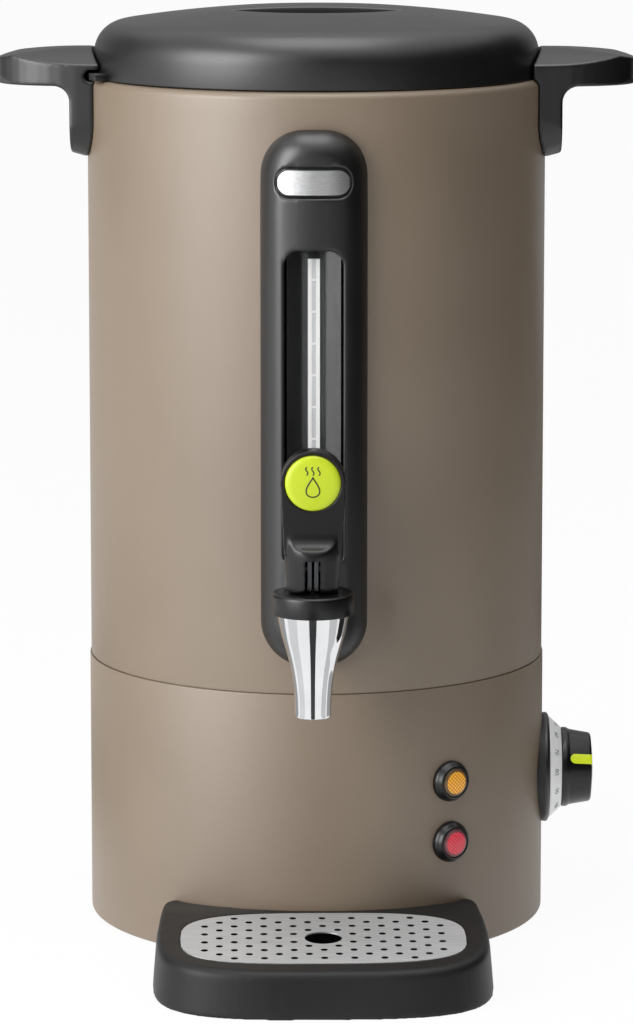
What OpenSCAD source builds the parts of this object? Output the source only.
// Hot water urn: a double-walled body on an electric base, with a twist-lock lid,
// a gauge column, a lever tap, a thermostat dial, two lamps and a loose drip tray.
// Millimetres. +Z is up, -Y is the front, the origin is on the body's axis at table level.

/* [Body] */
// Outer radius of the base shell
base_r = 128; // [118:1:138]
// Height of the base shell, from its lower edge to the seam
base_shell_h = 148; // [140:1:152]
// Height of the rim above the base shell's lower edge
rim_h = 472; // [440:1:500]
// Sheet thickness of the shells and of the tank
sheet = 1; // [0.8:0.1:1.4]
// How far the base shell stands proud of the upper shell
seam_step = 0.65; // [0.3:0.05:1.5]
// Radius of the rolled top edge
rim_roll_r = 4; // [3:0.5:6]
// Height of the rubber feet
foot_h = 2; // [2:0.5:6]
// Radius of a rubber foot at the table
foot_r = 8; // [6:0.5:10]
// Distance of each foot from the axis
foot_ring_r = 95; // [80:1:100]

/* [Tank] */
// Air gap between the tank and the upper shell
tank_gap = 5.35; // [4.5:0.05:7]
// Height of the tank's floor above the seam
tank_floor_rise = 16; // [14:0.5:17]
// Radius of the tank's floor corner
tank_corner_r = 12; // [8:1:16]
// How far the rim overhangs the tank's wall
mouth_lip = 3; // [2:0.5:4]
// Radius of the heater plate under the tank
heater_r = 80; // [70:1:90]
// Thickness of the heater plate
heater_t = 5; // [4:0.5:7]
// Radius of the heating element's ring
element_ring_r = 62; // [55:1:66]
// Radius of the heating element's tube
element_r = 4.2; // [3.5:0.1:5]

/* [Lid] */
// Height of the lid's crown above the rim
lid_h = 39.5; // [34:0.5:42]
// Radius of the rounded shoulder
lid_shoulder_r = 18; // [14:1:20]
// Radius of the gently domed top
lid_dome_r = 700; // [600:1:1000]
// Moulded wall of the lid
lid_wall = 3; // [2.5:0.1:3.4]
// Radius of the round finger pocket
pocket_r = 50; // [44:1:56]
// Depth of the finger pocket
pocket_depth = 24; // [18:1:25]
// Breadth of the grip bar
bar_w = 31; // [24:1:34]
// Thickness of the grip bar
bar_t = 7; // [5:0.5:9]
// Radial reach of a bayonet lug
lug_reach = 7.5; // [6:0.5:8]
// Thickness of a bayonet lug
lug_t = 3.8; // [3:0.1:4.2]
// Angle that a bayonet lug spans
lug_span = 5.5; // [4:0.5:7]

/* [Side handles] */
// Reach of a handle beyond the upper shell
handle_out = 50; // [42:0.5:60]
// Half the breadth of a handle
handle_half_w = 37.5; // [33:0.5:40]
// Thickness of the plate at its edge
handle_edge_t = 11; // [9:0.5:13]
// Rise of the crown above the plate's edge
handle_crown = 9; // [6:0.5:10]
// Radius of the crown, seen from the front
crown_front_r = 300; // [200:5:400]
// Radius of the crown, seen from the side
crown_side_r = 90; // [85:1:120]
// Thickness of the leg at its middle
leg_t = 8.15; // [6:0.05:12]
// Length of the leg below the plate
leg_h = 40; // [36:1:48]
// Radius of the leg's lower corners
leg_corner_r = 22; // [16:1:26]
// Radius of the fillet between plate and leg
leg_fillet_r = 8.5; // [6:0.5:10]

/* [Gauge column] */
// Width of the column
tower_w = 57.6; // [54:0.2:64]
// Distance from the rim down to the column's top
tower_drop = 19.3; // [16:0.1:30]
// Rise of the column's lower end above the seam
tower_rise = 16.5; // [14:0.1:22]
// Depth of the column in front of the upper shell
tower_depth = 15.6; // [15:0.2:18]
// Radius of the column's front, seen from above
tower_face_r = 85; // [70:1:120]
// Radius of the column's corners, seen from the front
tower_corner_r = 24; // [18:1:26]
// Radius of the column's end bevels, seen from the side
tower_bevel_r = 9; // [6:1:12]
// Width of the gauge window
window_w = 31.4; // [28:0.2:34]
// Corner radius of the gauge window
window_corner_r = 8; // [5:0.5:10]
// Distance from the column's top down to the window
window_drop = 63.2; // [55:0.2:75]
// Rise of the window's lower end above the tap's shank
window_rise = 27; // [24:0.5:32]
// Outer radius of the sight tube
tube_r = 6.2; // [5.5:0.1:6.4]
// Wall of the sight tube
tube_wall = 1.4; // [1:0.1:1.8]
// Width of the white stripe behind the sight tube
stripe_w = 6.5; // [5:0.5:9]
// Length of the badge plate
badge_w = 38.6; // [34:0.2:44]
// Height of the badge plate
badge_h = 13; // [10:0.2:14]
// Distance from the column's top down to the badge's middle
badge_drop = 27; // [24:0.5:32]

/* [Tap] */
// Distance from the column's front to the tap's centre line
tap_out = 27.05; // [24:0.05:32]
// Height of the shank above the column's lower end
shank_up = 27.5; // [24:0.1:30]
// Outer radius of the shank
shank_r = 8; // [7:0.1:8.5]
// Bore radius of the shank
shank_bore_r = 5; // [4:0.1:5.5]
// Drop of the spout's tip below the shank
spout_drop = 47; // [40:0.2:56]
// Radius of the spout's tip
tip_r = 9.6; // [8.5:0.1:10]
// Radius of the spout just under the bonnet
bell_r = 19; // [18.6:0.1:20.5]
// Radius of the outlet bore
outlet_r = 6.5; // [5.5:0.1:7]
// Radius of the valve chamber
chamber_r = 14; // [13:0.1:14.5]
// Radius of the bonnet
bonnet_r = 21.9; // [21.2:0.1:23]
// Height of the bonnet
bonnet_h = 11.5; // [11:0.1:13]
// Radius of the valve stem
stem_r = 3; // [2.5:0.1:3.4]
// Radius of the seat cup
cup_r = 10; // [9:0.1:11]
// Height of the seat cup
cup_h = 13.5; // [12:0.1:14]
// Radius of the valve spring
spring_r = 8; // [6:0.1:9]
// Wire radius of the valve spring
spring_wire_r = 0.5; // [0.4:0.05:0.6]

/* [Lever] */
// Radius of the lever's round head
head_r = 17.1; // [16:0.1:18.5]
// Rise of the head's centre above the lever pin
head_rise = 46.7; // [42:0.1:52]
// Thickness of the paddle
paddle_t = 13; // [10:0.5:14]
// Distance from the tap's centre line to the paddle's face
face_out = 8; // [7:0.5:10]
// Radius of the neck at its lip
neck_top_r = 15.3; // [14.5:0.1:16]
// Radius of the neck at the bonnet
neck_low_r = 13.3; // [12.5:0.1:14]
// Radius of the lever's foot about the cam centre
foot_cam_r = 12; // [11:0.1:13]
// How far the cam centre lies in front of the pin
cam_offset = 6; // [5:0.1:6.5]
// Width of the slot for the stem
stem_slot_w = 8; // [7.5:0.1:9.5]
// Radius of the lever pin
pin_r = 1.6; // [1.4:0.05:2]
// Radius of the coloured button disc
button_r = 14.7; // [13:0.1:15.2]

/* [Dial and lamps] */
// Height of the dial's axis above the base shell's lower edge
dial_up = 79.1; // [70:0.1:90]
// Radius of the dial flange
flange_r = 31; // [28:0.5:34]
// Radius of the scale ring at its foot
scale_foot_r = 28.5; // [26:0.1:30]
// Radius of the scale ring at its top
scale_top_r = 22.6; // [22:0.1:24]
// Radius of the knob's collar
collar_r = 22.5; // [21:0.1:23]
// Radius of the knob's grip at its foot
grip_foot_r = 21.7; // [20:0.1:22]
// Radius of the knob's grip at its end
grip_end_r = 19.3; // [17:0.1:20]
// Length of the knob's grip
grip_l = 12.9; // [10:0.1:16]
// Radius of the thermostat spindle
spindle_r = 3; // [2.5:0.1:3.5]
// Width of the pointer inlay
pointer_w = 5.5; // [4:0.1:7]
// Angle of the pointer above the front, at rest
pointer_angle = 25; // [0:1:40]
// Angle of the lamps round the body, from the front
lamp_angle = 35.3; // [30:0.1:42]
// Height of the upper lamp above the base shell's lower edge
lamp_high = 95; // [92:0.5:104]
// Height of the lower lamp above the base shell's lower edge
lamp_low = 61.2; // [50:0.2:66]
// Outer radius of a lamp bezel
bezel_r = 11.25; // [10.5:0.05:12]
// Radius of a lamp lens
lens_r = 7.8; // [6.8:0.1:8]

/* [Drip tray] */
// Half the width of the tray
tray_half_w = 91; // [86:1:96]
// Reach of the tray in front of the base shell
tray_out = 107.5; // [98:0.5:118]
// Height of the tray where it meets the body
tray_h = 31; // [28:0.5:36]
// Slope of the tray's top, in degrees
tray_slope = 3.3; // [2:0.1:4.5]
// How far the loose tray stands turned around the body's axis
tray_turn = 1.8; // [-4:0.1:4]
// Moulded wall of the tray
tray_wall = 2.5; // [2:0.1:3]
// Half the length of the grille
grille_half_w = 76; // [70:0.5:78]
// Half the breadth of the grille
grille_half_d = 42; // [38:0.5:43]
// Sheet thickness of the grille
grille_t = 0.8; // [0.8:0.1:1.6]
// Radius of the small drain holes
drain_r = 1.9; // [1.4:0.1:2.3]
// Spacing of the columns of drain holes
drain_pitch_x = 7.9; // [7:0.1:9]
// Spacing of the drain holes within one column
drain_pitch_y = 13.2; // [12:0.2:16]
// Radius of the finger hole in the grille
finger_r = 10; // [8:0.5:11]

/* [Underside] */
// Height of the cable gland above the base shell's lower edge
gland_up = 40; // [30:1:50]
// Bore radius of the cable gland
gland_bore_r = 4.2; // [3.5:0.1:5]
// Length of the cable gland's bore
gland_l = 22; // [20:1:26]
// Radius of the reset button
reset_r = 4; // [3:0.1:5]
// Travel of the reset button
reset_travel = 2.5; // [1.5:0.1:3]

/* [Hidden] */

// Colours
taupe = "#a39585";
black = "#2b2b2b";
steel = "#c9cbcc";
bright = "#e8e8ea";
lime = "#c8d62b";
amber = "#f5b52e";
red = "#d8454f";
white = "#f2f2ee";
brass = "#c9a24a";

// Fits
run_fit = 0.05;
seat_fit = 0.05;
part_gap = 0.3;
free_gap = 0.8;
cut = 1;
round_fn = 96;
small_fn = 64;

// Body heights, from the table
edge_z = foot_h;
seam_z = edge_z + base_shell_h;
rim_z = edge_z + rim_h;
seam_gap = 0.4;
shell_r = base_r - seam_step;
base_in_r = base_r - sheet;
spigot_r = base_in_r - part_gap;
spigot_h = 12;
lip_r = 118;
lip_in = base_r - 12;
bottom_round = 2;
plate_t = 2;
plate_z = edge_z + sheet;
plate_top = plate_z + plate_t;

// Tank
tank_out_r = shell_r - sheet - tank_gap;
tank_in_r = tank_out_r - sheet;
mouth_r = tank_in_r - mouth_lip;
tank_floor_z = seam_z + tank_floor_rise;
heater_z = tank_floor_z - sheet - heater_t;
element_elbow_r = element_r + 0.4;
element_z = heater_z - element_elbow_r;
element_gap = 30;
element_leg = 24;

// Lid
lid_r = shell_r - rim_roll_r + 0.15;
lid_edge_z = rim_z + seam_gap;
lid_top_z = rim_z + lid_h;
shoulder_z = lid_top_z - lid_dome_r
    + sqrt(pow(lid_dome_r - lid_shoulder_r, 2) - pow(lid_r - lid_shoulder_r, 2));
pocket_z = lid_top_z - pocket_depth;
liner_r = mouth_r - 1.5;
liner_z = rim_z - 6;
liner_rise = 14;
seal_h = 3;
seal_in_r = liner_r + 0.4;
seal_out_r = lid_r - lid_wall - 0.4;
lid_boss_r = 4;
lid_screw_l = 10;
lid_boss_ring = (pocket_r + liner_r) / 2;
lug_z = lid_edge_z;
lug_gap = 1.2;
lug_start = asin((handle_half_w + free_gap) / (lid_r + free_gap));

// Side handles
handle_root = shell_r - 5.35;
handle_tip = shell_r + handle_out;
leg_face = shell_r + leg_t;
handle_power = 2.4;
handle_low_z = rim_z - 3.5;
handle_edge_z = handle_low_z + handle_edge_t;
handle_top_z = handle_edge_z + handle_crown;
leg_low_z = handle_low_z - leg_h;
handle_screw_z = leg_low_z + 24;
handle_screw_angle = 5.5;
head_seat = 0.1;

// Gauge column
tower_z = seam_z + tower_rise;
tower_top_z = rim_z - tower_drop;
tower_h = tower_top_z - tower_z;
shank_z = tower_z + shank_up;
tower_front = shell_r + tower_depth;
window_floor = shell_r + 1.5;
window_top_z = tower_top_z - window_drop;
window_low_z = shank_z + window_rise;
stripe_t = 0.6;
tube_in_r = tube_r - tube_wall;
tube_y = window_floor + stripe_t + 0.35 + tube_r;
tube_low_z = window_low_z + part_gap;
tube_top_z = window_top_z - 1.8;
plug_h = 2.5;
cap_t = 1.2;
cavity_low_z = shank_z - 13;
cavity_top_z = window_low_z - 3;
cavity_half_w = 17;
badge_z = tower_top_z - badge_drop;
badge_border = 1.8;
badge_t = 1.6;
badge_sink = 0.9;
tower_screw_zs = [tower_z + 7, tower_top_z - 14];

// Tap
tap_reach = tower_front + tap_out;
shank_end = tank_in_r - 12;
seat_z = shank_z - shank_bore_r - 1;
tip_z = shank_z - spout_drop;
bonnet_z = shank_z + shank_r + 0.9;
bonnet_top_z = bonnet_z + bonnet_h;
bonnet_web = 3.6;
neck_r = bell_r - 1.2;
chamber_top_z = bonnet_top_z - bonnet_web - 0.2;
port_r = 3;
cup_shoulder = 4.5;
cup_neck_r = 6;
cup_z = seat_z + part_gap;
spring_low_z = cup_z + cup_shoulder + spring_wire_r + seat_fit;
spring_top_z = bonnet_top_z - bonnet_web - spring_wire_r - 0.1;
spring_turns = 3;
pin_z = bonnet_top_z + part_gap + foot_cam_r;
slot_room = 6;
blade_w = stem_slot_w - 2.4;
blade_t = 6.4;
blade_up = 4.4;
groove_w = 1.4;
groove_depth = 1.2;

// Lever
head_z = pin_z + head_rise;
lip_z = pin_z + 7.9;
face_low_z = lip_z + 5.1;
shelf_r = 9;
slot_top_z = pin_z + slot_room;
button_sink = 1.2;
button_proud = 1.8;

// Dial, in its own frame: distances along +X from the body's axis
dial_z = edge_z + dial_up;
flange_x = base_r + 3.9;
flange_edge_x = base_r + 1.5;
scale_x = flange_x + 6.8;
knob_x = scale_x + 0.4;
grip_x = knob_x + 3.6;
knob_end_x = grip_x + grip_l;
knob_dome = 1.2;
spindle_end_x = grip_x + 0.6 * grip_l;
spindle_start = 8;
bush_r = 5;
bush_end_x = flange_x + 4.5;
nut_room_r = 10;
stat_w = 34;
stat_h = 40;
stat_x0 = base_r - 32;
stat_x1 = base_r - 6;
bulb_r = 3;
bulb_l = 60;
bulb_y = 8;
bulb_z = heater_z - bulb_r;
capillary_r = 0.9;
capillary_low_z = element_z - element_r - 8;

// Lamps, in their own frame: distances outwards from the base shell
bezel_flange = 2.2;
bezel_nose = 5.5;
nose_r = lens_r + 1.7;
barrel_r = lens_r + 0.3;
barrel_l = 20;
lamp_nut_r = barrel_r + 2.9;
lamp_nut_t = 4.4;
lens_sink = 4;
lens_out = 5.9;
lens_dome_r = 24;

// Drip tray
tray_gap = 0.5;
tray_front = base_r + tray_out;
tray_mid = base_r + 0.3 * tray_out;
tray_power = 3.4;
tray_rear_w = tray_half_w - 2.5;
tray_rear_y = base_r - 21;
tray_rear_r = 12;
tray_taper = 2;
tray_round = 4.5;
grille_y = tray_front - 59.6;
grille_power = 3.2;
grille_gap = 0.5;
ledge = 4;
well_wall = 2;
well_floor = 4;
drain_columns = 17;
drain_edge = 6;

// Underside
gland_z = edge_z + gland_up;
gland_in = base_r - 8;
gland_out = gland_in + gland_l;
reset_x = -52;
reset_y = -48;
reset_low = edge_z - 1.6;
cutout_r = 12;
cutout_h = 24;
screw_r = 1.5;
wall_screw_r = 2;
wall_screw_l = 5.5;
wall_head_r = 4;
screw_head_r = 3;
screw_head_h = 1.2;
foot_web = 1.2;
foot_screw_l = foot_web + plate_t + 2;
base_screw_ring = base_r - 5.7;
base_screw_angles = [20, 110, 200, 290];
foot_angles = [225, 315, 135, 45];
vent_ring_r = 62;
vent_count = 16;

// Points of an arc, counter-clockwise when a1 is larger than a0
function arc(x, y, r, a0, a1, n = 10) =
    [for (i = [0:n]) [x + r * cos(a0 + (a1 - a0) * i / n), y + r * sin(a0 + (a1 - a0) * i / n)]];

// A signed power, for superellipses
function spow(v, p) = sign(v) * pow(abs(v), p);

// Points of a superellipse with half axes a and b
function superellipse(a, b, power, a0 = 0, a1 = 360, n = 48) =
    [for (i = [0:n]) let (t = a0 + (a1 - a0) * i / n)
        [a * spow(cos(t), 2 / power), b * spow(sin(t), 2 / power)]];

// A closed superellipse, without a repeated last point
function closed_superellipse(a, b, power, n = 48) =
    [for (i = [0:n - 1]) superellipse(a, b, power, 0, 360, n)[i]];

// A solid of revolution on the body's axis
module revolve(points) {
    rotate_extrude($fn = round_fn) polygon(points);
}

// A rectangle with round corners, centred
module round_rect(w, h, r) {
    hull_w = w - 2 * r;
    hull_h = h - 2 * r;
    union() {
        square([w, hull_h], center = true);
        square([hull_w, h], center = true);
        for (x = [-hull_w / 2, hull_w / 2], y = [-hull_h / 2, hull_h / 2])
            translate([x, y]) circle(r, $fn = small_fn);
    }
}

// Extrudes a shape drawn as seen from the front, from y0 to y1 in front of the axis
module from_front(y0, y1) {
    translate([0, -y0, 0]) rotate([90, 0, 0]) linear_extrude(y1 - y0) children();
}

// Extrudes a shape drawn in the Y-Z plane along X, centred
module from_side(w) {
    translate([-w / 2, 0, 0]) rotate([90, 0, 90]) linear_extrude(w) children();
}

// A round bar pointing forwards from y0 to y1 in front of the axis, at height z
module front_bar(r, y0, y1, z, x = 0) {
    translate([x, -y0, z]) rotate([90, 0, 0]) cylinder(r = r, h = y1 - y0, $fn = small_fn);
}

// A round bar along X
module side_bar(r, x0, x1, y, z) {
    translate([x0, y, z]) rotate([0, 90, 0]) cylinder(r = r, h = x1 - x0, $fn = small_fn);
}

// Puts a shape on the base shell, its own +Z pointing outwards
module on_wall(angle, z) {
    rotate([0, 0, angle]) translate([base_r, 0, z]) rotate([0, 90, 0]) children();
}

// Everything inside the base shell's outer face
module base_core() {
    cylinder(r = base_r + seat_fit, h = seam_z, $fn = round_fn);
}

// A pan-head screw with its head at the lower end
module screw_up(z, l) {
    translate([0, 0, z - screw_head_h]) cylinder(r = screw_head_r, h = screw_head_h, $fn = small_fn);
    translate([0, 0, z]) cylinder(r = screw_r, h = l, $fn = small_fn);
}

// A clearance hole for such a screw
module screw_hole(z, l) {
    translate([0, 0, z]) cylinder(r = screw_r + seat_fit, h = l, $fn = small_fn);
}

// A screw that holds a moulding from inside the upper shell, along -Y at height z
module wall_screw(z) {
    seat = shell_r - sheet - head_seat;
    front_bar(wall_head_r, seat - 2.5, seat, z);
    front_bar(wall_screw_r, seat, shell_r + wall_screw_l, z);
}

// The hole for such a screw
module wall_screw_hole(z) {
    front_bar(wall_screw_r + seat_fit, shell_r - 5, shell_r + wall_screw_l + part_gap, z);
}

// Turns a screw or its hole to each of the four places on the side handles
module at_handle_screws() {
    for (side = [90, -90], a = [-handle_screw_angle, handle_screw_angle])
        rotate([0, 0, side + a]) children();
}

// --- Body ---

module outer_shell() {
    roll_x = shell_r - rim_roll_r;
    roll_z = rim_z - rim_roll_r;
    in_r = shell_r - sheet;
    profile = concat(
        [[spigot_r - sheet, seam_z - spigot_h], [spigot_r, seam_z - spigot_h], [spigot_r, seam_z]],
        [[shell_r, seam_z]],
        arc(roll_x, roll_z, rim_roll_r, 0, 90),
        [[mouth_r, rim_z], [mouth_r, rim_z - sheet]],
        arc(roll_x, roll_z, rim_roll_r - sheet, 90, 0),
        [[in_r, seam_z + sheet], [spigot_r - sheet, seam_z + sheet]]
    );
    color(taupe)
    difference() {
        revolve(profile);
        front_bar(shank_r + part_gap, shell_r - 15, shell_r + 5, shank_z);
        for (z = tower_screw_zs)
            wall_screw_hole(z);
        at_handle_screws() wall_screw_hole(handle_screw_z);
    }
}

module tank() {
    corner_z = tank_floor_z + tank_corner_r;
    corner_x = tank_in_r - tank_corner_r;
    flange_r = tank_out_r + 2;
    top_z = rim_z - sheet;
    profile = concat(
        [[0, tank_floor_z - sheet]],
        arc(corner_x, corner_z, tank_corner_r + sheet, -90, 0),
        [[tank_out_r, top_z - sheet], [flange_r, top_z - sheet], [flange_r, top_z], [tank_in_r, top_z]],
        arc(corner_x, corner_z, tank_corner_r, 0, -90),
        [[0, tank_floor_z]]
    );
    color(steel)
    difference() {
        revolve(profile);
        front_bar(shank_r + part_gap, tank_in_r - 10, tank_out_r + 5, shank_z);
    }
}

module base_shell() {
    top_z = seam_z - seam_gap;
    edge_r = base_r - bottom_round;
    profile = concat(
        [[lip_in, edge_z]],
        arc(edge_r, edge_z + bottom_round, bottom_round, -90, 0, 5),
        [[base_r, top_z - 0.6], [base_r - 0.3, top_z], [base_in_r, top_z]],
        arc(edge_r, edge_z + bottom_round, bottom_round - sheet, 0, -90, 5),
        [[lip_in, edge_z + sheet]]
    );
    color(taupe)
    difference() {
        revolve(profile);
        side_bar(bush_r + 0.4, base_r - 10, base_r + 5, 0, dial_z);
        for (z = [lamp_high, lamp_low])
            on_wall(lamp_angle - 90, edge_z + z)
                translate([0, 0, -10]) cylinder(r = barrel_r + 0.2, h = 15, $fn = small_fn);
        on_wall(90, gland_z) translate([0, 0, -10]) cylinder(r = 7.2, h = 15, $fn = small_fn);
        for (a = base_screw_angles)
            rotate([0, 0, a]) translate([base_screw_ring, 0, 0]) screw_hole(edge_z - cut, 4);
    }
}

module base_plate() {
    plate_r = base_r - bottom_round;
    color(black)
    difference() {
        union() {
            translate([0, 0, plate_z]) cylinder(r = plate_r, h = plate_t, $fn = round_fn);
            for (a = foot_angles)
                rotate([0, 0, a]) translate([foot_ring_r, 0, plate_z])
                    cylinder(r = 5, h = plate_t + 4, $fn = small_fn);
        }
        for (a = foot_angles)
            rotate([0, 0, a]) translate([foot_ring_r, 0, 0]) screw_hole(plate_z - cut, foot_screw_l + cut);
        for (a = base_screw_angles)
            rotate([0, 0, a]) translate([base_screw_ring, 0, 0]) screw_hole(plate_z - cut, 4);
        translate([reset_x, reset_y, plate_z - cut]) cylinder(r = reset_r + 0.5, h = 4, $fn = small_fn);
        for (i = [0:vent_count - 1])
            rotate([0, 0, 360 / vent_count * (i + 0.5)])
                translate([vent_ring_r - 12, -1.5, plate_z - cut]) cube([20, 3, plate_t + 2 * cut]);
    }
}

module foot(i) {
    top_r = foot_r + 1.5;
    color(black)
    rotate([0, 0, foot_angles[i]]) translate([foot_ring_r, 0, 0])
    difference() {
        cylinder(r1 = foot_r, r2 = top_r, h = plate_z, $fn = small_fn);
        translate([0, 0, -cut]) cylinder(r = screw_head_r + 0.4, h = plate_z - foot_web + cut, $fn = small_fn);
        translate([0, 0, -cut]) cylinder(r = screw_r + seat_fit, h = plate_z + 2 * cut, $fn = small_fn);
    }
}
module foot_front_left() { foot(0); }
module foot_front_right() { foot(1); }
module foot_rear_left() { foot(2); }
module foot_rear_right() { foot(3); }

module foot_screws() {
    color(steel)
    for (a = foot_angles)
        rotate([0, 0, a]) translate([foot_ring_r, 0, 0]) union() screw_up(plate_z - foot_web, foot_screw_l);
}

module base_screws() {
    color(steel)
    for (a = base_screw_angles)
        rotate([0, 0, a]) translate([base_screw_ring, 0, 0])
        union() screw_up(edge_z, sheet + plate_t);
}

// --- Side handles ---

// Everything that a handle must keep clear of: the shell, its rolled rim and the lid
module handle_seat() {
    wall_r = shell_r + seat_fit;
    profile = concat(
        [[0, leg_low_z - 10], [wall_r, leg_low_z - 10]],
        arc(shell_r - rim_roll_r, rim_z - rim_roll_r, rim_roll_r + seat_fit, 0, 78),
        [[lid_r + free_gap, rim_z], [lid_r + free_gap, handle_top_z + 10], [0, handle_top_z + 10]]
    );
    revolve(profile);
}

module handle_outline() {
    polygon(closed_superellipse(handle_tip - handle_root, handle_half_w, handle_power));
}

// The left handle: a crowned plate, a leg against the body and a slot for the lid's lug
module side_handle() {
    leg_w = 2 * handle_half_w;
    leg_top = handle_low_z + 2;
    fillet_x = leg_face + leg_fillet_r;
    fillet_z = handle_low_z - leg_fillet_r;
    slot_mid_z = lug_z + lug_t / 2;
    slot_h = lug_t + 2 * lug_gap;
    slot_r = lid_r + lug_reach + lug_gap;
    color(black)
    difference() {
        intersection() {
            translate([-handle_root, 0, leg_low_z - 5]) linear_extrude(handle_top_z - leg_low_z + 10)
                handle_outline();
            union() {
                intersection() {
                    translate([-handle_tip - 5, -handle_half_w - 5, handle_low_z])
                        cube([handle_tip, 2 * handle_half_w + 10, handle_edge_t + handle_crown]);
                    translate([-handle_tip - 5, 0, handle_top_z - crown_side_r]) rotate([0, 90, 0])
                        cylinder(r = crown_side_r, h = handle_tip, $fn = round_fn);
                    translate([-handle_root, leg_w, handle_top_z - crown_front_r]) rotate([90, 0, 0])
                        cylinder(r = crown_front_r, h = 2 * leg_w, $fn = round_fn);
                }
                rotate([90, 0, -90]) translate([0, 0, leg_face - leg_w / 2]) linear_extrude(leg_w / 2)
                intersection() {
                    translate([0, (leg_low_z + leg_top + leg_corner_r) / 2])
                        round_rect(leg_w, leg_top + leg_corner_r - leg_low_z, leg_corner_r);
                    translate([-leg_w, leg_top - 2 * leg_w]) square(2 * leg_w);
                }
                difference() {
                    translate([-fillet_x, -handle_half_w, fillet_z])
                        cube([leg_fillet_r + 1, leg_w, leg_fillet_r + 1]);
                    translate([-fillet_x, handle_half_w + 1, fillet_z]) rotate([90, 0, 0])
                        cylinder(r = leg_fillet_r, h = leg_w + 2, $fn = small_fn);
                }
            }
        }
        handle_seat();
        rotate([0, 0, 176]) rotate_extrude(angle = 50, $fn = round_fn)
        union() {
            translate([lid_r - 5, slot_mid_z - slot_h / 2]) square([slot_r - lid_r + 5 - slot_h / 2, slot_h]);
            translate([slot_r - slot_h / 2, slot_mid_z]) circle(slot_h / 2, $fn = small_fn);
        }
        at_handle_screws() wall_screw_hole(handle_screw_z);
    }
}

module handle_left() { side_handle(); }
module handle_right() { rotate([0, 0, 180]) side_handle(); }

module handle_screws() {
    color(steel)
    at_handle_screws() union() wall_screw(handle_screw_z);
}

// --- Gauge column ---

// The column's solid form: convex front, round corners and bevelled ends
module tower_form() {
    mid_z = (tower_z + tower_top_z) / 2;
    bevel_y = tower_front - tower_bevel_r;
    side = concat(
        [[0, tower_z - cut], [-bevel_y, tower_z - cut]],
        arc(-bevel_y, tower_z + tower_bevel_r, tower_bevel_r, 270, 180, 8),
        arc(-bevel_y, tower_top_z - tower_bevel_r, tower_bevel_r, 180, 90, 8),
        [[0, tower_top_z]]
    );
    intersection() {
        from_front(shell_r - 20, tower_front + cut)
            translate([0, mid_z]) round_rect(tower_w, tower_h, tower_corner_r);
        translate([0, tower_face_r - tower_front, tower_z - cut])
            cylinder(r = tower_face_r, h = tower_h + 2 * cut, $fn = round_fn);
        from_side(tower_w + 2) polygon(side);
    }
}

module tower_cover() {
    window_h = window_top_z - window_low_z;
    color(black)
    difference() {
        tower_form();
        translate([0, 0, tower_z - 5]) cylinder(r = shell_r + seat_fit, h = tower_h + 10, $fn = round_fn);
        from_front(window_floor, tower_front + 5)
            translate([0, window_low_z + window_h / 2]) round_rect(window_w, window_h, window_corner_r);
        translate([0, -tube_y, cavity_low_z])
            cylinder(r = tube_in_r + part_gap, h = window_low_z + cut - cavity_low_z, $fn = small_fn);
        translate([-cavity_half_w, -tower_front + 2.5, cavity_low_z])
            cube([2 * cavity_half_w, tower_front - 2.5 - shell_r + 5, cavity_top_z - cavity_low_z]);
        front_bar(shank_r + part_gap, shell_r, tower_front + 5, shank_z);
        badge_recess();
        for (z = tower_screw_zs)
            wall_screw_hole(z);
    }
}

// A pill-shaped bar that follows the column's front, from depth d0 to depth d1 below it
module front_pill(w, h, d0, d1) {
    intersection() {
        from_front(tower_front - 20, tower_front + 5) translate([0, badge_z]) round_rect(w, h, h / 2 - 0.01);
        translate([0, tower_face_r - tower_front, badge_z - h])
        difference() {
            cylinder(r = tower_face_r - d0, h = 2 * h, $fn = round_fn);
            translate([0, 0, -cut]) cylinder(r = tower_face_r - d1, h = 2 * h + 2 * cut, $fn = round_fn);
        }
    }
}

module badge_recess() {
    front_pill(badge_w + 2 * badge_border, badge_h + 2 * badge_border, -3, badge_sink + badge_t);
}

module badge_plate() {
    color(steel) front_pill(badge_w, badge_h, 0.4, badge_sink + badge_t - seat_fit);
}

module tower_screws() {
    color(steel)
    for (z = tower_screw_zs) union() wall_screw(z);
}

module sight_tube() {
    color([0.85, 0.9, 0.92, 0.5])
    translate([0, -tube_y, tube_low_z])
    difference() {
        cylinder(r = tube_r, h = tube_top_z - tube_low_z, $fn = small_fn);
        translate([0, 0, -cut])
            cylinder(r = tube_in_r, h = tube_top_z - tube_low_z + 2 * cut, $fn = small_fn);
    }
}

module gauge_stripe() {
    color(white)
    translate([-stripe_w / 2, -window_floor - stripe_t, window_low_z + 3])
        cube([stripe_w, stripe_t - seat_fit, tube_top_z - window_low_z - 3.8]);
}

module gauge_plug() {
    color(black)
    translate([0, -tube_y, tube_top_z])
    union() {
        cylinder(r = tube_r, h = cap_t, $fn = small_fn);
        translate([0, 0, -plug_h]) cylinder(r = tube_in_r - seat_fit, h = plug_h + 1, $fn = small_fn);
    }
}

// Feeds the sight tube from the tap's shank
module gauge_tee() {
    ring_r = shank_r + 3.4;
    back = shell_r + 2;
    front = tower_front - 3;
    neck_h = tube_low_z + 8 - shank_z;
    color(steel)
    difference() {
        union() {
            front_bar(ring_r, back, front, shank_z);
            translate([0, -tube_y, shank_z]) cylinder(r = tube_in_r - seat_fit, h = neck_h, $fn = small_fn);
        }
        front_bar(shank_r + seat_fit, back - 5, front + 5, shank_z);
        translate([0, -tube_y, shank_z]) cylinder(r = port_r, h = neck_h + cut, $fn = small_fn);
    }
}

// --- Tap ---

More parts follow.
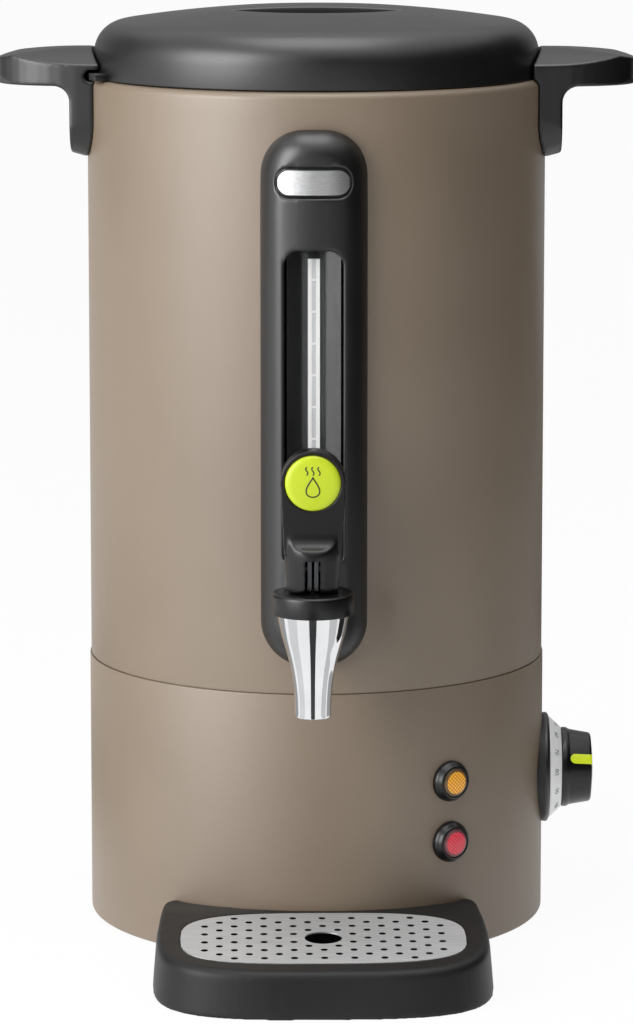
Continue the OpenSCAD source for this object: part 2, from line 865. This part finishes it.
module tap_body() {
    bell_z = bonnet_z - 0.1;
    drop = bell_z - tip_z;
    outer = [
        [0, tip_z], [tip_r - 0.3, tip_z], [tip_r, tip_z + 0.4],
        [tip_r + 0.3, tip_z + 0.15 * drop], [tip_r + 0.8, tip_z + 0.28 * drop],
        [tip_r + 1.8, tip_z + 0.4 * drop], [tip_r + 3.3, tip_z + 0.55 * drop],
        [bell_r - 2.6, tip_z + 0.77 * drop],
        [bell_r - 1.2, tip_z + 0.88 * drop], [bell_r, bell_z - 1],
        [bell_r, bell_z], [neck_r, bell_z], [neck_r, chamber_top_z], [0, chamber_top_z]
    ];
    color(bright)
    difference() {
        union() {
            translate([0, -tap_reach, 0]) revolve(outer);
            front_bar(shank_r, shank_end, tap_reach - chamber_r, shank_z);
        }
        translate([0, -tap_reach, tip_z - cut]) cylinder(r = outlet_r, h = drop + 20, $fn = small_fn);
        translate([0, -tap_reach, seat_z]) cylinder(r = chamber_r, h = 40, $fn = small_fn);
        front_bar(shank_bore_r, shank_end - 5, tap_reach, shank_z);
        translate([0, -tube_y, shank_z]) cylinder(r = port_r, h = 20, $fn = small_fn);
    }
}

module bonnet() {
    in_r = neck_r + seat_fit;
    web_z = bonnet_top_z - bonnet_web;
    hole_r = stem_r + run_fit;
    profile = concat(
        [[in_r, bonnet_z], [bonnet_r - 0.5, bonnet_z], [bonnet_r, bonnet_z + 0.5]],
        arc(bonnet_r - 2, bonnet_top_z - 2, 2, 0, 90, 5),
        [[hole_r, bonnet_top_z], [hole_r, web_z], [in_r, web_z]]
    );
    color(black) translate([0, -tap_reach, 0]) revolve(profile);
}

module shank_nut() {
    color(steel)
    difference() {
        front_bar_hex(15, shank_end + 1, shank_end + 9);
        front_bar(shank_r + seat_fit, shank_end, shank_end + 15, shank_z);
    }
}

// A hexagonal bar pointing forwards, with the given radius over its corners
module front_bar_hex(r, y0, y1) {
    translate([0, -y0, shank_z]) rotate([90, 0, 0]) cylinder(r = r, h = y1 - y0, $fn = 6);
}

module shank_gasket() {
    color(red)
    difference() {
        intersection() {
            front_bar(13, shank_end + 9, tank_in_r + 3, shank_z);
            cylinder(r = tank_in_r - seat_fit, h = rim_z, $fn = 4 * round_fn);
        }
        front_bar(shank_r + seat_fit, shank_end, tank_in_r + 5, shank_z);
    }
}

module valve_stem() {
    low_z = cup_z + 2;
    color(bright)
    difference() {
        union() {
            translate([0, -tap_reach, low_z]) cylinder(r = stem_r, h = pin_z - low_z, $fn = small_fn);
            translate([-blade_w / 2, -tap_reach - blade_t / 2, bonnet_top_z + free_gap])
                cube([blade_w, blade_t, pin_z + blade_up - bonnet_top_z - free_gap]);
        }
        translate([-groove_w / 2, -tap_reach - blade_t, bonnet_top_z])
            cube([groove_w, blade_t / 2 + groove_depth, 2 * foot_cam_r]);
        side_bar(pin_r + run_fit, -blade_w, blade_w, -tap_reach, pin_z);
    }
}

module seat_cup() {
    profile = [
        [0, cup_z], [cup_r - 1, cup_z], [cup_r, cup_z + 1], [cup_r, cup_z + cup_shoulder],
        [cup_neck_r, cup_z + cup_shoulder], [cup_neck_r, cup_z + cup_h], [0, cup_z + cup_h]
    ];
    color(white)
    translate([0, -tap_reach, 0])
    difference() {
        revolve(profile);
        translate([0, 0, cup_z + 2]) cylinder(r = stem_r + seat_fit, h = 40, $fn = small_fn);
    }
}

// A helical wire, swept as rings of points
module valve_spring() {
    sides = 6;
    steps = 14 * spring_turns;
    rise = spring_top_z - spring_low_z;
    points = [
        for (i = [0:steps], j = [0:sides - 1])
            let (a = 360 * spring_turns * i / steps, b = 360 * j / sides)
            let (r = spring_r + spring_wire_r * cos(b))
            [r * cos(a), r * sin(a), spring_low_z + rise * i / steps + spring_wire_r * sin(b)]
    ];
    walls = [
        for (i = [0:steps - 1], j = [0:sides - 1])
            let (k = (j + 1) % sides)
            [i * sides + j, (i + 1) * sides + j, (i + 1) * sides + k, i * sides + k]
    ];
    ends = [[for (j = [0:sides - 1]) j], [for (j = [0:sides - 1]) steps * sides + sides - 1 - j]];
    color(steel) translate([0, -tap_reach, 0]) polyhedron(points, concat(walls, ends), convexity = 6);
}

// --- Lever ---

module lever_outline() {
    union() {
        translate([0, head_z]) circle(head_r, $fn = round_fn);
        polygon([
            [-head_r, head_z], [-neck_top_r, lip_z], [neck_top_r, lip_z], [head_r, head_z]
        ]);
    }
}

module lever() {
    face_y = tap_reach + face_out;
    back_y = face_y - paddle_t;
    cam_y = tap_reach + cam_offset;
    foot_z = pin_z - foot_cam_r;
    lip_y = tap_reach + neck_top_r;
    shelf = concat(
        [[-back_y, foot_z - 5], [-lip_y - 5, foot_z - 5], [-lip_y - 5, lip_z], [-lip_y, lip_z]],
        arc(-face_y - shelf_r, face_low_z + shelf_r - 2, shelf_r, -70, 0, 6),
        [[-face_y, head_z + head_r + 5], [-back_y, head_z + head_r + 5]]
    );
    color(black)
    difference() {
        union() {
            from_front(back_y, face_y) lever_outline();
            intersection() {
                translate([0, -tap_reach, 0])
                union() {
                    translate([0, 0, foot_z])
                        cylinder(r1 = neck_low_r, r2 = neck_top_r, h = lip_z - foot_z, $fn = round_fn);
                    translate([0, 0, lip_z]) cylinder(r = neck_top_r, h = 12, $fn = round_fn);
                }
                union() {
                    from_side(80) polygon(shelf);
                    translate([-40, -back_y - 0.01, foot_z]) cube([80, 40, lip_z - foot_z + 3]);
                }
                union() {
                    translate([-40, -cam_y, foot_z]) cube([80, 60, 60]);
                    side_bar(foot_cam_r, -40, 40, -cam_y, pin_z);
                    translate([-40, -cam_y - 40, pin_z]) cube([80, 60, 60]);
                }
            }
        }
        translate([-stem_slot_w / 2, -tap_reach - 30, foot_z - 5])
            cube([stem_slot_w, 30 + slot_room, slot_top_z - foot_z + 5]);
        side_bar(pin_r + seat_fit, -30, 30, -tap_reach, pin_z);
        front_bar(button_r + 0.2, face_y - button_sink, face_y + 5, head_z);
    }
}

module lever_button() {
    back_y = tap_reach + face_out - button_sink + seat_fit;
    dome_z = button_sink + button_proud;
    color(lime)
    translate([0, -back_y, head_z]) rotate([90, 0, 0])
    rotate_extrude($fn = round_fn)
        polygon(concat(
            [[0, 0], [button_r, 0]],
            [for (p = arc(0, 0, 1, 0, 90, 8))
                [(button_r - 1.2) * p[0] + 1.2 * pow(p[0], 8), dome_z - 1.1 + 1.1 * p[1]]]
        ));
}

module lever_pin() {
    color(bright) side_bar(pin_r, -neck_low_r, neck_low_r, -tap_reach, pin_z);
}

// --- Lamps ---

module bezel(z) {
    profile = [
        [0, -barrel_l], [barrel_r, -barrel_l], [barrel_r, -4], [bezel_r, -4], [bezel_r, bezel_flange - 0.6],
        [bezel_r - 0.6, bezel_flange], [nose_r + 0.4, bezel_flange], [nose_r, bezel_nose - 0.5],
        [nose_r - 0.5, bezel_nose], [lens_r + seat_fit, bezel_nose], [lens_r + seat_fit, -lens_sink],
        [0, -lens_sink]
    ];
    color(black)
    difference() {
        on_wall(lamp_angle - 90, edge_z + z) revolve(profile);
        difference() {
            base_core();
            on_wall(lamp_angle - 90, edge_z + z)
                translate([0, 0, -barrel_l - 5]) cylinder(r = barrel_r, h = barrel_l + 10, $fn = small_fn);
        }
    }
}

module lens(z) {
    on_wall(lamp_angle - 90, edge_z + z)
    intersection() {
        translate([0, 0, -lens_sink]) cylinder(r = lens_r, h = lens_sink + lens_out + 2, $fn = small_fn);
        translate([0, 0, lens_out + 0.6 - lens_dome_r]) sphere(r = lens_dome_r, $fn = round_fn);
    }
}

module amber_bezel() { bezel(lamp_high); }
module red_bezel() { bezel(lamp_low); }
module amber_lens() { color(amber) lens(lamp_high); }
module red_lens() { color(red) lens(lamp_low); }

module lamp_nuts() {
    color(white)
    for (z = [lamp_high, lamp_low])
        on_wall(lamp_angle - 90, edge_z + z)
        difference() {
            translate([0, 0, -sheet - 0.6 - lamp_nut_t]) cylinder(r = lamp_nut_r, h = lamp_nut_t, $fn = 6);
            translate([0, 0, -barrel_l]) cylinder(r = barrel_r + seat_fit, h = barrel_l, $fn = small_fn);
        }
}

// --- Thermostat and dial ---

// A solid of revolution on the dial's axis; each point is [radius, distance from the body's axis]
module dial_revolve(points) {
    translate([0, 0, dial_z]) rotate([0, 90, 0]) rotate_extrude($fn = round_fn) polygon(points);
}

module dial_flange() {
    hole_r = bush_r + seat_fit;
    color(black)
    difference() {
        dial_revolve([
            [hole_r, base_r - 10], [flange_r, base_r - 10], [flange_r, flange_edge_x],
            [scale_foot_r, flange_x], [hole_r, flange_x]
        ]);
        base_core();
    }
}

module scale_ring() {
    color(steel)
    dial_revolve([
        [nut_room_r, flange_x], [scale_foot_r, flange_x], [scale_foot_r, flange_x + 0.5],
        [scale_top_r, scale_x], [nut_room_r, scale_x]
    ]);
}

module knob() {
    color(black)
    difference() {
        dial_revolve(concat(
            [[0, knob_x], [collar_r, knob_x], [collar_r, grip_x - 0.4], [collar_r - 0.4, grip_x]],
            [[grip_foot_r, grip_x], [grip_end_r, knob_end_x - 0.6], [grip_end_r - 0.6, knob_end_x]],
            [[grip_end_r / 2, knob_end_x + 0.8 * knob_dome], [0, knob_end_x + knob_dome]]
        ));
        dial_revolve([[0, knob_x - cut], [spindle_r + seat_fit, knob_x - cut],
            [spindle_r + seat_fit, spindle_end_x + part_gap], [0, spindle_end_x + part_gap]]);
        pointer_form(0.1);
    }
}

// The inlay runs along the grip's side and over its end, with a round inner end
module pointer_form(room) {
    inner_x = grip_x + 1 + pointer_w / 2;
    half = pointer_w / 2 + room;
    depth = 3;
    proud = 0.15;
    translate([0, 0, dial_z]) rotate([-pointer_angle, 0, 0]) translate([0, 0, -dial_z])
    intersection() {
        union() {
            front_bar(half, grip_end_r - depth, grip_foot_r + depth, dial_z, inner_x);
            translate([inner_x, -grip_foot_r - depth, dial_z - half])
                cube([knob_end_x + 2 * knob_dome - inner_x, grip_foot_r - grip_end_r + 2 * depth, 2 * half]);
        }
        dial_revolve([
            [0, grip_x], [grip_foot_r + proud, grip_x], [grip_end_r + proud, knob_end_x + proud],
            [grip_end_r - depth, knob_end_x + proud + 0.3], [0, knob_end_x + proud + 0.3]
        ]);
    }
}

module knob_pointer() {
    color(lime) pointer_form(0);
}

module thermostat() {
    color(white)
    difference() {
        union() {
            translate([stat_x0, -stat_w / 2, dial_z - stat_h / 2]) cube([stat_x1 - stat_x0, stat_w, stat_h]);
            side_bar(bush_r, stat_x1 - 1, bush_end_x, 0, dial_z);
        }
        side_bar(spindle_r + run_fit, stat_x0 + spindle_start, bush_end_x + cut, 0, dial_z);
    }
}

module thermostat_nut() {
    color(steel)
    difference() {
        translate([flange_x, 0, dial_z]) rotate([0, 90, 0]) cylinder(r = 8.5, h = 4, $fn = 6);
        side_bar(bush_r + seat_fit, flange_x - 5, flange_x + 10, 0, dial_z);
    }
}

module thermostat_spindle() {
    color(bright) side_bar(spindle_r, stat_x0 + spindle_start + part_gap, spindle_end_x, 0, dial_z);
}

module thermostat_bulb() {
    bulb_x = bulb_l / 2 + 6;
    stat_x = stat_x0 + 12;
    stat_top = dial_z + stat_h / 2;
    color(brass)
    union() {
        side_bar(bulb_r, -bulb_l / 2, bulb_l / 2, bulb_y, bulb_z);
        side_bar(capillary_r, bulb_l / 2 - 1, bulb_x, bulb_y, bulb_z);
        side_bar(capillary_r, bulb_x, stat_x, bulb_y, capillary_low_z);
        translate([bulb_x, bulb_y, capillary_low_z])
            cylinder(r = capillary_r, h = bulb_z - capillary_low_z, $fn = small_fn);
        translate([stat_x, bulb_y, stat_top])
            cylinder(r = capillary_r, h = capillary_low_z - stat_top, $fn = small_fn);
        for (p = [[bulb_x, bulb_z], [bulb_x, capillary_low_z], [stat_x, capillary_low_z]])
            translate([p[0], bulb_y, p[1]]) sphere(r = capillary_r, $fn = small_fn);
    }
}

// --- Heating and wiring ---

module heater_plate() {
    color(steel) translate([0, 0, heater_z]) cylinder(r = heater_r, h = heater_t, $fn = round_fn);
}

module heating_element() {
    color(steel)
    rotate([0, 0, 90 + element_gap / 2])
    union() {
        translate([0, 0, element_z]) rotate_extrude(angle = 360 - element_gap, $fn = round_fn)
            translate([element_ring_r, 0]) circle(element_r, $fn = small_fn);
        for (a = [0, -element_gap])
            rotate([0, 0, a]) translate([element_ring_r, 0, element_z]) {
                sphere(r = element_elbow_r, $fn = small_fn);
                translate([0, 0, -element_leg]) cylinder(r = element_r, h = element_leg, $fn = small_fn);
            }
    }
}

module element_nuts() {
    color(brass)
    rotate([0, 0, 90 + element_gap / 2])
    for (a = [0, -element_gap])
        rotate([0, 0, a]) translate([element_ring_r, 0, element_z - element_leg - 5])
            cylinder(r = 4, h = 5, $fn = 6);
}

module boil_dry_cutout() {
    color(black)
    translate([reset_x, reset_y, plate_top])
    difference() {
        union() {
            cylinder(r = cutout_r, h = cutout_h, $fn = small_fn);
            for (x = [-6, 4]) translate([x, -3, cutout_h]) cube([2, 6, 8]);
        }
        translate([0, 0, -cut]) cylinder(r = reset_r + run_fit, h = cut + 8, $fn = small_fn);
    }
}

module reset_button() {
    color(red)
    translate([reset_x, reset_y, reset_low]) cylinder(r = reset_r, h = 7, $fn = small_fn);
}

module terminal_block() {
    color(white)
    translate([-24, 52, plate_top])
    difference() {
        cube([48, 18, 16]);
        for (x = [8, 24, 40]) translate([x, 9, 8]) cylinder(r = 3, h = 10, $fn = small_fn);
    }
}

module cable_gland() {
    dome = [
        [gland_bore_r, gland_in], [9, gland_in], [9, base_in_r - 1.4], [7, base_in_r - 1.4],
        [7, base_r - 1], [10, base_r - 1], [10, base_r + 4], [8.6, gland_out - 2.5], [6.6, gland_out],
        [gland_bore_r, gland_out]
    ];
    color(black)
    difference() {
        translate([0, 0, gland_z]) rotate([-90, 0, 0]) rotate_extrude($fn = round_fn) polygon(dome);
        difference() {
            cylinder(r = base_r + seat_fit, h = seam_z, $fn = round_fn);
            cylinder(r = base_in_r - seat_fit, h = seam_z, $fn = round_fn);
            on_wall(90, gland_z) translate([0, 0, -20]) cylinder(r = 7, h = 40, $fn = small_fn);
        }
    }
}

// --- Lid ---

// The lid's solid form, its surface moved inwards by inset
module lid_form(inset, low_z) {
    x = lid_r - lid_shoulder_r;
    shoulder = lid_shoulder_r - inset;
    dome_r = lid_dome_r - inset;
    dome_z = lid_top_z - lid_dome_r;
    join = asin(x / (lid_dome_r - lid_shoulder_r));
    profile = concat(
        [[0, low_z], [lid_r - inset, low_z]],
        arc(x, shoulder_z, shoulder, 0, 90 - join, 12),
        arc(0, dome_z, dome_r, 90 - join, 90, 8)
    );
    revolve(profile);
}

module lid_shell() {
    rib_z = rim_z + part_gap + seal_h + 0.4;
    boss_z = liner_z + sheet;
    color(black)
    union() {
        difference() {
            union() {
                difference() {
                    lid_form(0, lid_edge_z);
                    lid_form(lid_wall, lid_edge_z - cut);
                }
                intersection() {
                    lid_form(0, lid_edge_z - 10);
                    union() {
                        translate([0, 0, pocket_z - lid_wall])
                            cylinder(r = pocket_r + lid_wall, h = 60, $fn = round_fn);
                        for (a = [45:90:315])
                            rotate([0, 0, a]) translate([lid_boss_ring, 0, boss_z])
                                cylinder(r = lid_boss_r, h = 60, $fn = small_fn);
                        translate([0, 0, rib_z])
                        difference() {
                            cylinder(r = seal_out_r - 1.2, h = 60, $fn = round_fn);
                            translate([0, 0, -cut]) cylinder(r = seal_out_r - 3.2, h = 70, $fn = round_fn);
                        }
                    }
                }
            }
            translate([0, 0, pocket_z]) cylinder(r = pocket_r, h = 60, $fn = round_fn);
            for (a = [45:90:315])
                rotate([0, 0, a]) translate([lid_boss_ring, 0, 0]) screw_hole(liner_z, lid_screw_l + cut);
        }
        intersection() {
            lid_form(0, lid_edge_z);
            translate([-pocket_r - 1, -bar_w / 2, lid_top_z - bar_t])
                cube([2 * pocket_r + 2, bar_w, bar_t + 1]);
        }
        for (a = [0, 180])
            rotate([0, 0, a + 180 + lug_start]) rotate_extrude(angle = lug_span, $fn = round_fn)
                translate([lid_r - 1.5, lug_z]) square([lug_reach + 1.5, lug_t]);
    }
}

module lid_liner() {
    color(steel)
    difference() {
        union() {
            translate([0, 0, liner_z]) cylinder(r = liner_r, h = liner_rise, $fn = round_fn);
        }
        translate([0, 0, liner_z + sheet]) cylinder(r = liner_r - sheet, h = liner_rise, $fn = round_fn);
        for (a = [45:90:315])
            rotate([0, 0, a]) translate([lid_boss_ring, 0, 0]) screw_hole(liner_z - cut, 4);
    }
}

module lid_seal() {
    low_z = rim_z + part_gap;
    color(white)
    revolve([
        [seal_in_r, low_z], [seal_out_r, low_z], [seal_out_r, low_z + 2], [seal_out_r - 1, low_z + seal_h],
        [seal_in_r, low_z + seal_h]
    ]);
}

module lid_screws() {
    color(steel)
    for (a = [45:90:315])
        rotate([0, 0, a]) translate([lid_boss_ring, 0, 0]) union() screw_up(liner_z, lid_screw_l);
}

// --- Drip tray ---

// Height of the tray's sloping top at a given distance in front of the axis
function tray_top(y) = tray_h - (y - base_r) * tan(tray_slope);

// The tray's outline as seen from above, moved inwards by inset; the rear corners stay round
function tray_outline(inset) =
    let (r = max(tray_rear_r - inset, 1), x = tray_rear_w - inset - r, y = tray_rear_y + r + inset - tray_rear_r)
    concat(
        [for (p = superellipse(tray_half_w - inset, tray_front - tray_mid - inset, tray_power, 180, 360, 40))
            [p[0], p[1] - tray_mid]],
        arc(x, -y, r, 0, 90, 5),
        arc(-x, -y, r, 90, 180, 5)
    );

// A skin through outlines; each ring is [inset, depth below the sloping top], the first lies at low_z
module tray_skin(rings, low_z) {
    count = len(tray_outline(0));
    points = [
        for (i = [0:len(rings) - 1]) for (p = tray_outline(rings[i][0]))
            [p[0], p[1], i == 0 ? low_z : tray_top(-p[1]) - rings[i][1]]
    ];
    walls = [
        for (i = [0:len(rings) - 2], j = [0:count - 1])
            let (k = (j + 1) % count)
            [i * count + j, (i + 1) * count + j, (i + 1) * count + k, i * count + k]
    ];
    last = (len(rings) - 1) * count;
    ends = [[for (j = [0:count - 1]) j], [for (j = [0:count - 1]) last + count - 1 - j]];
    polyhedron(points, concat(walls, ends), convexity = 4);
}

// Puts a shape in the plane of the grille; z = 0 is the tray's sloping top
module on_slope() {
    translate([0, -grille_y, tray_top(grille_y)]) rotate([tray_slope, 0, 0]) children();
}

module drip_tray() {
    outer = concat([[0, 0]], [for (a = [0:22.5:90])
        [tray_taper + tray_round * (1 - cos(a)), tray_round * (1 - sin(a))]]);
    inner = [for (ring = outer) [ring[0] + tray_wall, ring[1] + tray_wall]];
    well_a = grille_half_w - ledge;
    well_b = grille_half_d - ledge;
    well_z = well_floor - well_wall;
    color(black)
    rotate([0, 0, tray_turn])
    difference() {
        union() {
            difference() {
                tray_skin(outer, 0);
                difference() {
                    tray_skin(inner, -cut);
                    translate([0, 0, -2 * cut])
                        cylinder(r = base_r + tray_gap + tray_wall, h = tray_h + 10, $fn = round_fn);
                }
            }
            intersection() {
                tray_skin(outer, 0);
                translate([0, -grille_y, well_z]) linear_extrude(tray_h)
                    polygon(closed_superellipse(grille_half_w + 1, grille_half_d + 1, grille_power));
            }
        }
        translate([0, 0, -2 * cut]) cylinder(r = base_r + tray_gap, h = tray_h + 10, $fn = round_fn);
        translate([0, -grille_y, well_floor]) linear_extrude(tray_h)
            polygon(closed_superellipse(well_a, well_b, grille_power));
        on_slope() translate([0, 0, -grille_t - 0.4]) linear_extrude(20)
            polygon(closed_superellipse(grille_half_w + grille_gap, grille_half_d + grille_gap, grille_power));
    }
}

// True when a drain hole lies inside the grille's edge and outside the finger hole's
function drain_fits(x, y) =
    pow(abs(x) / (grille_half_w - drain_edge), grille_power)
        + pow(abs(y) / (grille_half_d - drain_edge + 1), grille_power) < 1
    && norm([x, y]) > finger_r + drain_r + 1;

module drip_grille() {
    middle = (drain_columns - 1) / 2;
    color(steel)
    rotate([0, 0, tray_turn])
    on_slope()
    translate([0, 0, -grille_t - 0.1])
    difference() {
        linear_extrude(grille_t) polygon(closed_superellipse(grille_half_w, grille_half_d, grille_power));
        translate([0, 0, -cut]) cylinder(r = finger_r, h = grille_t + 2 * cut, $fn = small_fn);
        for (i = [-middle:middle], j = [-3:3]) {
            x = i * drain_pitch_x;
            y = (j + (abs(i) % 2 == 0 ? 0.5 : 0)) * drain_pitch_y;
            if (drain_fits(x, y))
                translate([x, y, -cut]) cylinder(r = drain_r, h = grille_t + 2 * cut, $fn = 16);
        }
    }
}

outer_shell();
tank();
base_shell();
base_plate();
foot_front_left();
foot_front_right();
foot_rear_left();
foot_rear_right();
foot_screws();
base_screws();
handle_left();
handle_right();
handle_screws();
tower_cover();
tower_screws();
badge_plate();
sight_tube();
gauge_stripe();
gauge_plug();
gauge_tee();
tap_body();
bonnet();
shank_nut();
shank_gasket();
valve_stem();
seat_cup();
valve_spring();
lever();
lever_button();
lever_pin();
amber_bezel();
amber_lens();
red_bezel();
red_lens();
lamp_nuts();
dial_flange();
scale_ring();
knob();
knob_pointer();
thermostat();
thermostat_nut();
thermostat_spindle();
thermostat_bulb();
heater_plate();
heating_element();
element_nuts();
boil_dry_cutout();
reset_button();
terminal_block();
cable_gland();
lid_shell();
lid_liner();
lid_seal();
lid_screws();
drip_tray();
drip_grille();
